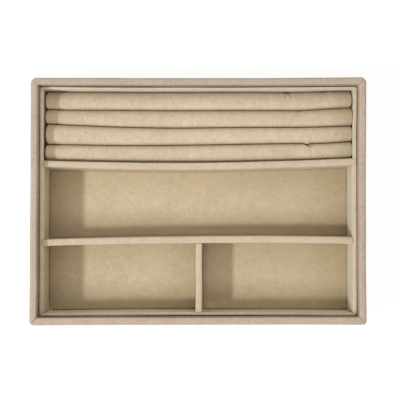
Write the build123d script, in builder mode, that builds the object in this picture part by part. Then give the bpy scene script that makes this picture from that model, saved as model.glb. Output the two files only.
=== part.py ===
from build123d import *
import os

os.makedirs("parts", exist_ok=True)

# The tray lies flat: X runs along its length, Y from front to rear, Z up.
# The origin is the middle of the underside.

# Overall size
tray_length = 248.0
tray_depth = 182.5
tray_height = 47.0

# Case: four mitred boards, covered with leatherette
case_board_thickness = 4.0
leatherette_thickness = 0.6
rear_corner_radius = 4.3
front_corner_radius = 2.8
rim_radius = 1.8
foot_radius = 1.0
leatherette_turn_down = 17.0
leatherette_turn_in = 6.2

# Base board, held in a rebate of the case boards
base_board_thickness = 3.0
base_rebate_depth = 2.0
board_clearance = 0.1

# Plinth under the case, which drops into the rim of the tray below
plinth_drop = 3.0
plinth_inset = 6.4
plinth_corner_radius = 3.0

# Velvet, the same cloth on every covered piece
velvet_thickness = 0.6
velvet_edge_radius = 0.8

# Liner: four thin boards that stand inside the case, lower than its rim
liner_drop = 9.5
liner_gap = 1.2
liner_board_thickness = 1.2
liner_turn_down = 6.5

# Dividers between the bays. A bow is how far the middle stands off the
# line between the ends, and a skew is how far each end is turned off square
divider_board_thickness = 3.4
short_divider_board_thickness = 3.0
ring_bay_depth = 54.0
front_bay_depth = 51.4
rear_divider_bow = -2.25
rear_divider_skew = 0.75
front_divider_bow = 1.55
front_divider_skew = 0.75
short_divider_offset = 0.7

# Tabs on the dividers' ends, and the slots that take them
tab_thickness = 2.4
tab_height = 14.0
tab_rise = 8.0
tab_clearance = 0.2

# Floor cards of the bays
card_thickness = 1.7
card_clearance = 0.2

# Ring rolls: four padded bars, side by side across the ring bay
roll_crowns = (30.0, 30.5, 33.8, 32.7)
roll_clearance = 0.4
roll_end_clearance = 0.3
roll_lift_clearance = 0.3
roll_taper = 0.9
roll_end_depth = 2.5
roll_end_drop = 0.8
roll_end_draw = 0.7
# Where the rolls meet, as shares of the ring bay's depth, at five places
# that stand at these shares of the rolls' half length
roll_station_shares = (-1.0, -0.5, 0.0, 0.5, 1.0)
roll_edge_shares = (
    (0.0, 0.241, 0.457, 0.746, 1.0),
    (0.0, 0.249, 0.489, 0.746, 1.0),
    (0.0, 0.245, 0.498, 0.731, 1.0),
    (0.0, 0.247, 0.500, 0.728, 1.0),
    (0.0, 0.215, 0.500, 0.729, 1.0),
)

# Length by which a cutting shape runs past what it cuts
overrun = 2.0

# Levels, from the underside up
case_bottom = plinth_drop
base_bottom = case_bottom + leatherette_thickness
base_top = base_bottom + base_board_thickness
card_top = base_top + card_thickness
floor_top = card_top + velvet_thickness
liner_top = tray_height - liner_drop
liner_board_top = liner_top - velvet_thickness
tab_bottom = base_top + tab_rise

# Plan half sizes, from the outside in
half_length = tray_length / 2
half_depth = tray_depth / 2
case_wall = case_board_thickness + 2 * leatherette_thickness
liner_inset = case_wall + liner_gap
liner_board_inset = liner_inset + velvet_thickness
liner_board_face_inset = liner_board_inset + liner_board_thickness
bay_inset = liner_board_face_inset + velvet_thickness
bay_half_length = half_length - bay_inset
bay_half_depth = half_depth - bay_inset
divider_half = divider_board_thickness / 2 + velvet_thickness
divider_core_half = divider_board_thickness / 2
short_divider_half = short_divider_board_thickness / 2 + velvet_thickness
divider_end = bay_half_length - board_clearance
rear_divider_middle = bay_half_depth - ring_bay_depth - divider_half
front_divider_middle = front_bay_depth + divider_half - bay_half_depth
liner_wall = velvet_thickness + liner_board_thickness


def save(piece, name):
    """Label one finished piece and write it to its own file"""
    piece.part.label = name
    export_step(piece.part, f"parts/{name}.step")


def divider_y(middle, bow, skew, x):
    """Give the Y place of a divider's centre line at a place along X"""
    share = x / bay_half_length
    return middle - bow * share**2 + skew * share


def rear_divider_y(x):
    """Give the rear divider's centre line"""
    return divider_y(rear_divider_middle, rear_divider_bow, rear_divider_skew, x)


def front_divider_y(x):
    """Give the front divider's centre line"""
    return divider_y(front_divider_middle, front_divider_bow, front_divider_skew, x)


def bowed_edge(line, start, end, offset):
    """Draw the arc that runs beside a divider's centre line"""
    middle = (start + end) / 2
    return ThreePointArc(
        (start, line(start) + offset),
        (middle, line(middle) + offset),
        (end, line(end) + offset),
    )


def mitred_zone(side):
    """Draw the plan zone of one side, cut at 45 degrees through each corner"""
    far_x = half_length + overrun
    far_y = half_depth + overrun
    near_x = half_length - half_depth
    zones = {
        "front": ((-far_x, -far_y), (far_x, -far_y), (near_x, 0), (-near_x, 0)),
        "rear": ((-far_x, far_y), (far_x, far_y), (near_x, 0), (-near_x, 0)),
        "left": ((-far_x, -far_y), (-far_x, far_y), (-near_x, 0)),
        "right": ((far_x, -far_y), (far_x, far_y), (near_x, 0)),
    }
    with BuildSketch() as zone:
        Polygon(*zones[side], align=None)
    return zone.sketch


def liner_zone(side, face_inset):
    """Draw the plan zone of a liner side: mitred in front, and butted at the rear,
    where the left and right sides run through"""
    far_x = half_length + overrun
    far_y = half_depth + overrun
    near_x = half_length - half_depth
    butt_x = half_length - face_inset
    mitre_y = far_x - butt_x - far_y
    zones = {
        "front": ((-far_x, -far_y), (far_x, -far_y), (near_x, 0), (-near_x, 0)),
        "rear": ((-butt_x, 0), (-butt_x, far_y), (butt_x, far_y), (butt_x, 0)),
        "left": ((-far_x, -far_y), (-butt_x, mitre_y), (-butt_x, far_y), (-far_x, far_y)),
        "right": ((far_x, -far_y), (butt_x, mitre_y), (butt_x, far_y), (far_x, far_y)),
    }
    with BuildSketch() as zone:
        Polygon(*zones[side], align=None)
    return zone.sketch


def plan_rectangle(inset, bottom):
    """Draw the rectangle that lies an inset inside the tray's outline"""
    with BuildSketch(Plane.XY.offset(bottom)) as plan:
        Rectangle(tray_length - 2 * inset, tray_depth - 2 * inset)
    return plan.sketch


def case_plan(inset, bottom):
    """Draw the tray's outline with its rounded corners, moved in by an inset"""
    with BuildSketch(Plane.XY.offset(bottom)) as plan:
        Rectangle(tray_length - 2 * inset, tray_depth - 2 * inset)
        fillet(plan.vertices().group_by(Axis.Y)[-1], rear_corner_radius - inset)
        fillet(plan.vertices().group_by(Axis.Y)[0], front_corner_radius - inset)
    return plan.sketch


def case_ring(inset):
    """Make the whole wall of the case, every face moved in by an inset"""
    bottom = case_bottom + inset
    top = tray_height - inset
    with BuildPart() as ring:
        extrude(case_plan(inset, bottom), amount=top - bottom)
        fillet(ring.faces().sort_by(Axis.Z)[0].edges(), foot_radius - inset)
        opening = plan_rectangle(case_wall - inset, bottom)
        extrude(opening, amount=top - bottom, mode=Mode.SUBTRACT)
        fillet(ring.faces().sort_by(Axis.Z)[-1].edges(), rim_radius - inset)
    return ring.part


def cut_slots(places, length, width):
    """Cut the slots that take the dividers' tabs, out of the part being built"""
    with BuildSketch(Plane.XY.offset(tab_bottom - tab_clearance)) as slots:
        with Locations(*places):
            Rectangle(length, width)
    extrude(slots.sketch, amount=tab_height + 2 * tab_clearance, mode=Mode.SUBTRACT)


# Case boards, with the rebate that holds the base board
case_board_ring = case_ring(leatherette_thickness)
base_inset = leatherette_thickness + case_board_thickness - base_rebate_depth
for side in ("front", "rear", "left", "right"):
    with BuildPart() as case_board:
        add(case_board_ring)
        extrude(
            plan_rectangle(base_inset, base_bottom),
            amount=base_board_thickness,
            mode=Mode.SUBTRACT,
        )
        extrude(mitred_zone(side), amount=tray_height, mode=Mode.INTERSECT)
    save(case_board, f"case_{side}_board")

# Leatherette: over the outside and the rim, down inside the rim, and turned in below
leatherette_ring = case_ring(0)
skirt_height = tray_height - leatherette_turn_down - base_bottom
for side in ("front", "rear", "left", "right"):
    with BuildPart() as leatherette:
        add(leatherette_ring)
        add(case_board_ring, mode=Mode.SUBTRACT)
        extrude(
            plan_rectangle(case_wall - leatherette_thickness, base_bottom),
            amount=skirt_height,
            mode=Mode.SUBTRACT,
        )
        with BuildSketch(Plane.XY.offset(case_bottom)):
            add(plan_rectangle(case_wall - leatherette_thickness, 0))
            add(plan_rectangle(leatherette_turn_in, 0), mode=Mode.SUBTRACT)
        extrude(amount=leatherette_thickness)
        extrude(mitred_zone(side), amount=tray_height, mode=Mode.INTERSECT)
    save(leatherette, f"leatherette_{side}")

# Base board, in the case boards' rebate
with BuildPart() as base_board:
    extrude(
        plan_rectangle(base_inset + board_clearance, base_bottom),
        amount=base_board_thickness,
    )
save(base_board, "base_board")

# Plinth board and the velvet tray that covers its sides and underside
plinth_board_length = tray_length - 2 * (plinth_inset + velvet_thickness)
plinth_board_depth = tray_depth - 2 * (plinth_inset + velvet_thickness)
with BuildPart() as plinth_board:
    with BuildSketch(Plane.XY.offset(velvet_thickness)):
        RectangleRounded(
            plinth_board_length, plinth_board_depth, plinth_corner_radius - velvet_thickness
        )
    extrude(amount=base_bottom - velvet_thickness)
save(plinth_board, "plinth_board")

with BuildPart() as plinth_velvet:
    with BuildSketch():
        RectangleRounded(
            tray_length - 2 * plinth_inset, tray_depth - 2 * plinth_inset, plinth_corner_radius
        )
    extrude(amount=base_bottom)
    fillet(plinth_velvet.faces().sort_by(Axis.Z)[0].edges(), velvet_edge_radius)
    add(plinth_board.part, mode=Mode.SUBTRACT)
save(plinth_velvet, "plinth_velvet")

# Places where the long dividers' tabs go through the side walls of the liner
side_slot_places = {
    "left": [
        (-bay_half_length, rear_divider_y(-bay_half_length)),
        (-bay_half_length, front_divider_y(-bay_half_length)),
    ],
    "right": [
        (bay_half_length, rear_divider_y(bay_half_length)),
        (bay_half_length, front_divider_y(bay_half_length)),
    ],
}
slot_width = tab_thickness + 2 * tab_clearance
through_slot_length = 2 * (liner_wall + overrun)
front_slot_places = [(short_divider_offset, -bay_half_depth)]


def cut_liner_slots(side):
    """Cut the tab slots of one side of the liner, out of the part being built"""
    if side in side_slot_places:
        cut_slots(side_slot_places[side], through_slot_length, slot_width)
    if side == "front":
        cut_slots(front_slot_places, slot_width, through_slot_length)


# Liner boards, standing on the base board
for side in ("front", "rear", "left", "right"):
    with BuildPart() as liner_board:
        with BuildSketch(Plane.XY.offset(base_top)):
            add(plan_rectangle(liner_board_inset, 0))
            add(plan_rectangle(liner_board_face_inset, 0), mode=Mode.SUBTRACT)
        extrude(amount=liner_board_top - base_top)
        extrude(
            liner_zone(side, liner_board_face_inset),
            amount=tray_height,
            mode=Mode.INTERSECT,
        )
        cut_liner_slots(side)
    save(liner_board, f"liner_{side}_board")

# Velvet over the liner: down the bay side, over the top, and a little way down outside
liner_skirt_height = liner_top - liner_turn_down - base_top
for side in ("front", "rear", "left", "right"):
    with BuildPart() as liner_velvet:
        with BuildSketch(Plane.XY.offset(base_top)):
            add(plan_rectangle(liner_inset, 0))
            add(plan_rectangle(bay_inset, 0), mode=Mode.SUBTRACT)
        extrude(amount=liner_top - base_top)
        fillet(liner_velvet.faces().sort_by(Axis.Z)[-1].edges(), velvet_edge_radius)
        with BuildSketch(Plane.XY.offset(base_top)):
            add(plan_rectangle(liner_board_inset, 0))
            add(plan_rectangle(liner_board_face_inset, 0), mode=Mode.SUBTRACT)
        extrude(amount=liner_board_top - base_top, mode=Mode.SUBTRACT)
        with BuildSketch(Plane.XY.offset(base_top)):
            add(plan_rectangle(liner_inset - overrun, 0))
            add(plan_rectangle(liner_board_inset, 0), mode=Mode.SUBTRACT)
        extrude(amount=liner_skirt_height, mode=Mode.SUBTRACT)
        extrude(liner_zone(side, bay_inset), amount=tray_height, mode=Mode.INTERSECT)
        cut_liner_slots(side)
    save(liner_velvet, f"liner_{side}_velvet")


def bowed_plan(line, half_width, bottom):
    """Draw the plan of a long divider: two bowed edges and two square ends"""
    with BuildSketch(Plane.XY.offset(bottom)) as plan:
        with BuildLine():
            rear = bowed_edge(line, -divider_end, divider_end, half_width)
            front = bowed_edge(line, -divider_end, divider_end, -half_width)
            Line(rear @ 0, front @ 0)
            Line(rear @ 1, front @ 1)
        make_face()
    return plan.sketch


# Depth of the blind slot in the front divider that takes the short divider's tab
blind_slot_depth = velvet_thickness + divider_core_half
short_divider_rear = front_divider_y(short_divider_offset) - divider_half
short_divider_front = -bay_half_depth
short_slot_places = [(short_divider_offset, short_divider_rear)]

# Long divider boards, with a tab on each end
for name, line in (("rear", rear_divider_y), ("front", front_divider_y)):
    with BuildPart() as divider_board:
        extrude(bowed_plan(line, divider_core_half, base_top), amount=liner_board_top - base_top)
        tab_reach = half_length - liner_board_inset - divider_end
        with BuildSketch(Plane.XY.offset(tab_bottom)):
            for end in (-1, 1):
                with Locations((end * divider_end, line(end * bay_half_length))):
                    Rectangle(2 * tab_reach, tab_thickness)
        extrude(amount=tab_height)
        if name == "front":
            cut_slots(short_slot_places, slot_width, 2 * blind_slot_depth)
    save(divider_board, f"{name}_divider_board")

    with BuildPart() as divider_velvet:
        extrude(bowed_plan(line, divider_half, base_top), amount=liner_top - base_top)
        fillet(divider_velvet.faces().sort_by(Axis.Z)[-1].edges(), velvet_edge_radius)
        add(divider_board.part, mode=Mode.SUBTRACT)
        extrude(
            bowed_plan(line, divider_core_half, base_top),
            amount=liner_board_top - base_top,
            mode=Mode.SUBTRACT,
        )
        if name == "front":
            cut_slots(short_slot_places, slot_width, 2 * blind_slot_depth)
    save(divider_velvet, f"{name}_divider_velvet")

# Short divider, from the front divider to the front of the liner, with its two tabs
short_body_rear = short_divider_rear - card_clearance
short_body_front = short_divider_front + board_clearance
short_length = short_body_rear - short_body_front
short_middle = (short_body_rear + short_body_front) / 2
with BuildPart() as short_divider_board:
    with BuildSketch(Plane.XY.offset(base_top)):
        with Locations((short_divider_offset, short_middle)):
            Rectangle(short_divider_board_thickness, short_length)
    extrude(amount=liner_board_top - base_top)
    with BuildSketch(Plane.XY.offset(tab_bottom)):
        with Locations((short_divider_offset, short_body_front)):
            Rectangle(tab_thickness, 2 * (liner_wall + board_clearance))
        with Locations((short_divider_offset, short_body_rear)):
            Rectangle(tab_thickness, 2 * blind_slot_depth)
    extrude(amount=tab_height)
save(short_divider_board, "short_divider_board")

with BuildPart() as short_divider_velvet:
    with BuildSketch(Plane.XY.offset(base_top)):
        with Locations((short_divider_offset, short_middle)):
            Rectangle(2 * short_divider_half, short_length)
    extrude(amount=liner_top - base_top)
    fillet(short_divider_velvet.faces().sort_by(Axis.Z)[-1].edges(), velvet_edge_radius)
    add(short_divider_board.part, mode=Mode.SUBTRACT)
save(short_divider_velvet, "short_divider_velvet")


def ring_bay_plan(bottom):
    """Draw the floor of the ring bay"""
    far_x = bay_half_length - card_clearance
    far_y = bay_half_depth - card_clearance
    offset = divider_half + card_clearance
    with BuildSketch(Plane.XY.offset(bottom)) as plan:
        with BuildLine():
            front = bowed_edge(rear_divider_y, -far_x, far_x, offset)
            Polyline(front @ 0, (-far_x, far_y), (far_x, far_y), front @ 1)
        make_face()
    return plan.sketch


def middle_bay_plan(bottom):
    """Draw the floor of the bay between the long dividers"""
    far_x = bay_half_length - card_clearance
    offset = divider_half + card_clearance
    with BuildSketch(Plane.XY.offset(bottom)) as plan:
        with BuildLine():
            rear = bowed_edge(rear_divider_y, -far_x, far_x, -offset)
            front = bowed_edge(front_divider_y, -far_x, far_x, offset)
            Line(rear @ 0, front @ 0)
            Line(rear @ 1, front @ 1)
        make_face()
    return plan.sketch


def front_bay_plan(start, end, bottom):
    """Draw the floor of one of the two front bays"""
    near_y = card_clearance - bay_half_depth
    offset = divider_half + card_clearance
    with BuildSketch(Plane.XY.offset(bottom)) as plan:
        with BuildLine():
            rear = bowed_edge(front_divider_y, start, end, -offset)
            Polyline(rear @ 0, (start, near_y), (end, near_y), rear @ 1)
        make_face()
    return plan.sketch


def floor_plan(bay, bottom):
    """Draw the floor of a bay, by the bay's name"""
    far_x = bay_half_length - card_clearance
    beside = short_divider_half + card_clearance
    if bay == "rings":
        return ring_bay_plan(bottom)
    if bay == "middle":
        return middle_bay_plan(bottom)
    if bay == "front_left":
        return front_bay_plan(-far_x, short_divider_offset - beside, bottom)
    return front_bay_plan(short_divider_offset + beside, far_x, bottom)


# Floor cards, and the velvet on all of them but the one under the rolls
for bay in ("rings", "middle", "front_left", "front_right"):
    with BuildPart() as floor_card:
        extrude(floor_plan(bay, base_top), amount=card_thickness)
    save(floor_card, f"floor_card_{bay}")
    if bay != "rings":
        with BuildPart() as floor_velvet:
            extrude(floor_plan(bay, card_top), amount=velvet_thickness)
        save(floor_velvet, f"floor_velvet_{bay}")

roll_half_length = bay_half_length - roll_end_clearance
roll_bottom = card_top + roll_lift_clearance


def roll_edge_y(station, edge):
    """Give the Y place of the edge between two rolls at one station"""
    x = roll_station_shares[station] * bay_half_length
    bay_depth = bay_half_depth - rear_divider_y(x) - divider_half
    return bay_half_depth - roll_edge_shares[station][edge] * bay_depth


def roll_section(x, rear, front, crown, inset):
    """Draw one cross section of a roll: tapered sides and a round crown"""
    radius = (rear - front) / 2 - inset
    middle = (rear + front) / 2
    shoulder = crown - inset - radius
    foot = radius - roll_taper
    with BuildSketch(Plane.YZ.offset(x)) as section:
        with BuildLine():
            CenterArc((middle, shoulder), radius, 0, 90)
            CenterArc((middle, shoulder), radius, 90, 90)
            Polyline(
                (middle - radius, shoulder),
                (middle - foot, roll_bottom),
                (middle + foot, roll_bottom),
                (middle + radius, shoulder),
            )
        make_face()
    return section.sketch


def roll_sections(number, inset):
    """Draw a roll's sections: five along its length, and a smaller one at each end"""
    crown = roll_crowns[number]
    sections = []
    for station, share in enumerate(roll_station_shares):
        rear = roll_edge_y(station, number) - roll_clearance / 2
        front = roll_edge_y(station, number + 1) + roll_clearance / 2
        x = share * (roll_half_length - inset)
        if abs(share) < 1:
            sections.append(roll_section(x, rear, front, crown, inset))
            continue
        full_x = share * (roll_half_length - roll_end_depth)
        full = roll_section(full_x, rear, front, crown, inset)
        end = roll_section(
            x, rear - roll_end_draw, front + roll_end_draw, crown - roll_end_drop, inset
        )
        sections += [end, full] if share < 0 else [full, end]
    return sections


# Ring rolls: a foam bar, and the velvet drawn over its crown, sides and ends
for number in range(len(roll_crowns)):
    with BuildPart() as roll_foam:
        loft(roll_sections(number, velvet_thickness), ruled=True)
    save(roll_foam, f"ring_roll_{number + 1}_foam")

    with BuildPart() as roll_cover:
        loft(roll_sections(number, 0), ruled=True)
        add(roll_foam.part, mode=Mode.SUBTRACT)
    save(roll_cover, f"ring_roll_{number + 1}_cover")
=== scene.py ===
import math

import bpy
from mathutils import Euler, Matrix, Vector, noise


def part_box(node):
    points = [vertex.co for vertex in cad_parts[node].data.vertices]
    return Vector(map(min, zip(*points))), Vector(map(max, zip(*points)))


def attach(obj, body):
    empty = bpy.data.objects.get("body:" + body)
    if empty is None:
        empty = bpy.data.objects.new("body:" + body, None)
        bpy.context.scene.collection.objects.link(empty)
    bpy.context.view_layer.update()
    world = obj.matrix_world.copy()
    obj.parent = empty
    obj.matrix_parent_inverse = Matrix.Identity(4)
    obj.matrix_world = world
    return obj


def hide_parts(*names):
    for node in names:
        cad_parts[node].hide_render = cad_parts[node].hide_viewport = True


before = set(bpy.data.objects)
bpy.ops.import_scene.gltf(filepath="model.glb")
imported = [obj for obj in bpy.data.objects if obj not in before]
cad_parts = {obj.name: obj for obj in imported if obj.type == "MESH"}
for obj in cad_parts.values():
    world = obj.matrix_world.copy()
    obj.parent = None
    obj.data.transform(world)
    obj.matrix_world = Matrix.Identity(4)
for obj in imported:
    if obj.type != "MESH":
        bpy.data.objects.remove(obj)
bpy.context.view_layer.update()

# Lengths here are millimetres, and become metres when a mesh is made
MM = 0.001

# Sizes that the frame gives
case_low, case_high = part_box("leatherette_left")
half_length = -case_low.x / MM
half_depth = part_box("leatherette_rear")[1].y / MM
case_bottom = case_low.z / MM
rim_top = case_high.z / MM
liner_low, liner_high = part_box("liner_left_velvet")
liner_inset = half_length + liner_low.x / MM
bay_inset = half_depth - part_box("liner_rear_velvet")[0].y / MM
liner_top = liner_high.z / MM
liner_bottom = liner_low.z / MM
floor_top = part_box("floor_velvet_middle")[1].z / MM
plinth_low, plinth_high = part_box("plinth_velvet")
plinth_top = plinth_high.z / MM
plinth_inset = half_length + plinth_low.x / MM
bay_half_length = half_length - bay_inset
bay_half_depth = half_depth - bay_inset

# Leatherette. A seam is how deep and how wide the edges roll in where two sides meet
case_wall = 5.2
leatherette_thickness = 0.6
rim_radius = 1.9
rim_inner_radius = 1.0
foot_radius = 1.0
leatherette_turn_down = 17.0
leatherette_turn_in = 6.2
leatherette_seam = (0.25, 0.35)

# Velvet
velvet_thickness = 0.55
velvet_edge_radius = 0.85
liner_velvet_thickness = 0.4
liner_turn_down = 6.5
liner_end_fold_share = 0.6
liner_end_plan_radius = 2.2
liner_rim_radius = 0.5
liner_rear_reach = 0.5
liner_rear_end_step = 0.1
liner_seam = (0.2, 0.35)

# The card in the liner: the gaps to the velvet's faces, and its ends past the bay's corners
card_outer_gap = 0.5
card_inner_gap = 1.35
card_top_gap = 0.8
card_rear_reach = -0.2
card_side_reach = 0.3

# Dividers, by their centre lines: middle, bow and skew along Y. Their tops rise over the
# liner's, and the long ones narrow at the front from this place to their left ends
divider_half = 2.7
short_divider_half = 2.5
divider_edge_radius = 0.95
divider_crown = 0.3
divider_rise = 0.6
short_divider_rise = 0.5
narrowing_start = -78.0
narrowing_length = 14.0
short_divider_x = 0.65
rear_divider_line = (26.3, -2.25, 0.75)
front_divider_line = (-28.65, 1.55, 0.75)

# Ring rolls: the places along X, and where the rolls meet at each of them
roll_places = (-113, -97, -62, -21, 25, 62, 78, 97, 113)
roll_meets = (
    (69.7, 69.4, 69.35, 69.1, 69.2, 69.2, 69.2, 70.4, 71.3),
    (58.4, 57.7, 56.2, 55.3, 55.7, 55.85, 55.9, 56.3, 56.85),
    (43.15, 42.95, 42.45, 42.6, 43.3, 43.9, 44.0, 44.3, 45.5),
)
roll_crowns = (30.0, 30.5, 33.8, 32.7)
roll_gap = 0.3

# Steps of the swept skins, in millimetres along a side or in pieces of a curve
sweep_spacing = 2.5
corner_steps = 8
edge_steps = 6


def srgb(red, green, blue):
    """Turn a colour as seen on a screen, 0 to 255, into a linear one"""
    linear = []
    for value in (red, green, blue):
        share = value / 255
        linear.append(share / 12.92 if share <= 0.04045 else ((share + 0.055) / 1.055) ** 2.4)
    return (*linear, 1.0)


def smoothstep(low, high, value):
    """Go smoothly from 0 at low to 1 at high"""
    share = min(max((value - low) / (high - low), 0.0), 1.0)
    return share * share * (3 - 2 * share)


def bump_at(distance, width):
    """Give a soft hump: 1 at no distance, and nearly 0 at two widths"""
    return math.exp(-((distance / width) ** 2))


def curve_through(places, values, x):
    """Give the smooth curve through some values at some places"""
    last = len(places) - 1
    if x <= places[0]:
        return values[0]
    if x >= places[last]:
        return values[last]
    i = next(k for k in range(last) if x <= places[k + 1])
    span = places[i + 1] - places[i]

    def slope(k):
        before, after = max(k - 1, 0), min(k + 1, last)
        return (values[after] - values[before]) / (places[after] - places[before])

    t = (x - places[i]) / span
    rise = values[i + 1] - values[i]
    cubic = slope(i) * span * t * (1 - t) ** 2 - slope(i + 1) * span * t * t * (1 - t)
    return values[i] + rise * t * t * (3 - 2 * t) + cubic


def wave(point, size, seed):
    """Give smooth noise from -1 to 1, whose lumps have about this size"""
    return noise.noise(Vector(point) / size + Vector((seed, seed * 1.7, seed * 0.3)))


# Shader helpers

# The sockets of a mix node that hold its two colours and its result
MIX_FIRST, MIX_SECOND, MIX_RESULT = 6, 7, 2

# How a bay's floor is painted darker towards its edges, as painted shade by the walls: where
# that starts and ends, in shares of half its size from its middle, and the share of its brightness left
# there
SIDE_SHADE = (0.75, 1.0, 0.7)
REAR_SHADE = (0.0, 1.0, 0.72)
FRONT_SHADE = (-0.1, -0.7, 0.66)

# The strip at a bay's front where the painted front shade eases, and the stretch at its left end without
# it, in such shares
FRONT_STRIP_EASE = (-0.65, -0.8)
LEFT_END_UNSHADED = (-0.755, -0.81)

# How far the painted shade's border wanders, in metres for the whole range of a noise
SHADE_WANDER = 0.01


def feed(tree, node, inputs):
    """Feed a node's inputs, each from a socket, or with a number or a colour"""
    for name, value in inputs.items():
        if isinstance(value, bpy.types.NodeSocket):
            tree.links.new(value, node.inputs[name])
        else:
            node.inputs[name].default_value = value


def add_node(tree, kind, inputs, **settings):
    """Add a node with its settings and inputs, and give its outputs"""
    node = tree.nodes.new(f"ShaderNode{kind}")
    for name, value in settings.items():
        setattr(node, name, value)
    feed(tree, node, inputs)
    return node.outputs


class Shader:
    """A material under construction, with its principled shader"""

    def __init__(self, name):
        self.material = bpy.data.materials.new(name)
        self.material.use_nodes = True
        self.tree = self.material.node_tree
        self.coordinates = add_node(self.tree, "TexCoord", {})["Object"]

    def mapped(self, scale):
        """Give the object's coordinates, stretched"""
        return add_node(self.tree, "Mapping", {"Scale": scale, "Vector": self.coordinates})["Vector"]

    def axes(self):
        """Give the object's coordinates one by one"""
        return add_node(self.tree, "SeparateXYZ", {"Vector": self.coordinates})

    def noise(self, scale, detail=3.0, roughness=0.55, vector=None):
        """Give noise with so many lumps to the metre"""
        inputs = {"Scale": scale, "Detail": detail, "Roughness": roughness}
        return add_node(self.tree, "TexNoise", {**inputs, "Vector": vector or self.coordinates})["Fac"]

    def cells(self, scale):
        """Give the distance to the edge of cells, so many to the metre"""
        inputs = {"Scale": scale, "Vector": self.coordinates}
        return add_node(self.tree, "TexVoronoi", inputs, feature="DISTANCE_TO_EDGE")["Distance"]

    def math(self, operation, first, second):
        """Join two values, each a socket or a number"""
        return add_node(self.tree, "Math", {0: first, 1: second}, operation=operation)["Value"]

    def spread(self, value, low, high, to_low=0.0, to_high=1.0):
        """Stretch a range of a value over another range"""
        inputs = {"From Min": low, "From Max": high, "To Min": to_low, "To Max": to_high}
        return add_node(self.tree, "MapRange", {**inputs, "Value": value})["Result"]

    def blend(self, *layers):
        """Add up noises, each with a weight, round a middle tone of a half"""
        total = 0.5
        for layer, weight in layers:
            part = self.math("MULTIPLY", self.math("SUBTRACT", layer, 0.5), weight)
            total = self.math("ADD", part, total)
        return self.spread(total, 0.0, 1.0)

    def mix(self, share, first, second):
        """Mix two colours, each a socket or a colour"""
        inputs = {"Factor": share, MIX_FIRST: first, MIX_SECOND: second}
        return add_node(self.tree, "Mix", inputs, data_type="RGBA")[MIX_RESULT]

    def painted_floor_shade(self, patches, middle_y, half_y, strip_share):
        """Give the painted shade of a bay's floor: 1 near the middle, less towards its edges, where
        shade falls
        """
        axes = self.axes()
        wander = self.math("MULTIPLY", self.math("SUBTRACT", patches, 0.5), SHADE_WANDER)
        across = self.math("ADD", self.math("ABSOLUTE", axes["X"], 0), wander)
        along = self.math("ADD", self.math("SUBTRACT", axes["Y"], middle_y * MM), wander)
        half, side = half_y * MM, bay_half_length * MM

        def floor_shade(value, size, start, end, left):
            return self.spread(value, start * size, end * size, 1.0, left)

        sides = floor_shade(across, side, *SIDE_SHADE)
        rear = floor_shade(along, half, *REAR_SHADE)
        front = floor_shade(along, half, *FRONT_SHADE)
        strip = self.spread(along, FRONT_STRIP_EASE[0] * half, FRONT_STRIP_EASE[1] * half, 0.0, strip_share)
        front_darkening = self.math("SUBTRACT", 1.0, self.math("ADD", front, strip))
        front_shade_reach = floor_shade(axes["X"], side, *LEFT_END_UNSHADED, 0.0)
        front = self.math("SUBTRACT", 1.0, self.math("MULTIPLY", front_darkening, front_shade_reach))
        return self.math("MULTIPLY", self.math("MULTIPLY", sides, rear), front)

    def bump(self, height, distance, strength):
        """Give the normal that a height field makes"""
        inputs = {"Distance": distance, "Strength": strength, "Height": height}
        return add_node(self.tree, "Bump", inputs)["Normal"]

    def finish(self, colour, normal, roughness, others):
        """Feed the principled shader, and give the material"""
        inputs = {"Base Color": colour, "Normal": normal, "Roughness": roughness}
        feed(self.tree, self.tree.nodes["Principled BSDF"], {**inputs, **others})
        return self.material


# How velvet and leatherette shine
VELVET_SHINE = {
    "Sheen Roughness": 0.45,
    "Sheen Tint": (1.0, 0.97, 0.92, 1.0),
    "Specular IOR Level": 0.15,
}
LEATHERETTE_SHINE = {"Specular IOR Level": 0.3}

# What is left of each channel of a velvet's light tone where it blushes, and of its dark
# tone in the floors' warm painted shade and in the other painted shade; the left wall's painted shade
# has its own tint
BLUSH_TINT = (0.98, 0.88, 0.84)
FLOOR_SHADE_TINT = (0.74, 0.58, 0.44)
PAINTED_SHADE_TINT = (0.3, 0.27, 0.12)
WALL_SHADE_TINT = (0.5, 0.55, 0.0)

# The nap's streaks on the walls, so many to the metre along X, Y and Z
WALL_NAP = (160, 160, 420)


def tinted(colour, tint):
    """Give a colour with each channel scaled"""
    return (*(share * channel for share, channel in zip(tint, colour)), 1.0)


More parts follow.
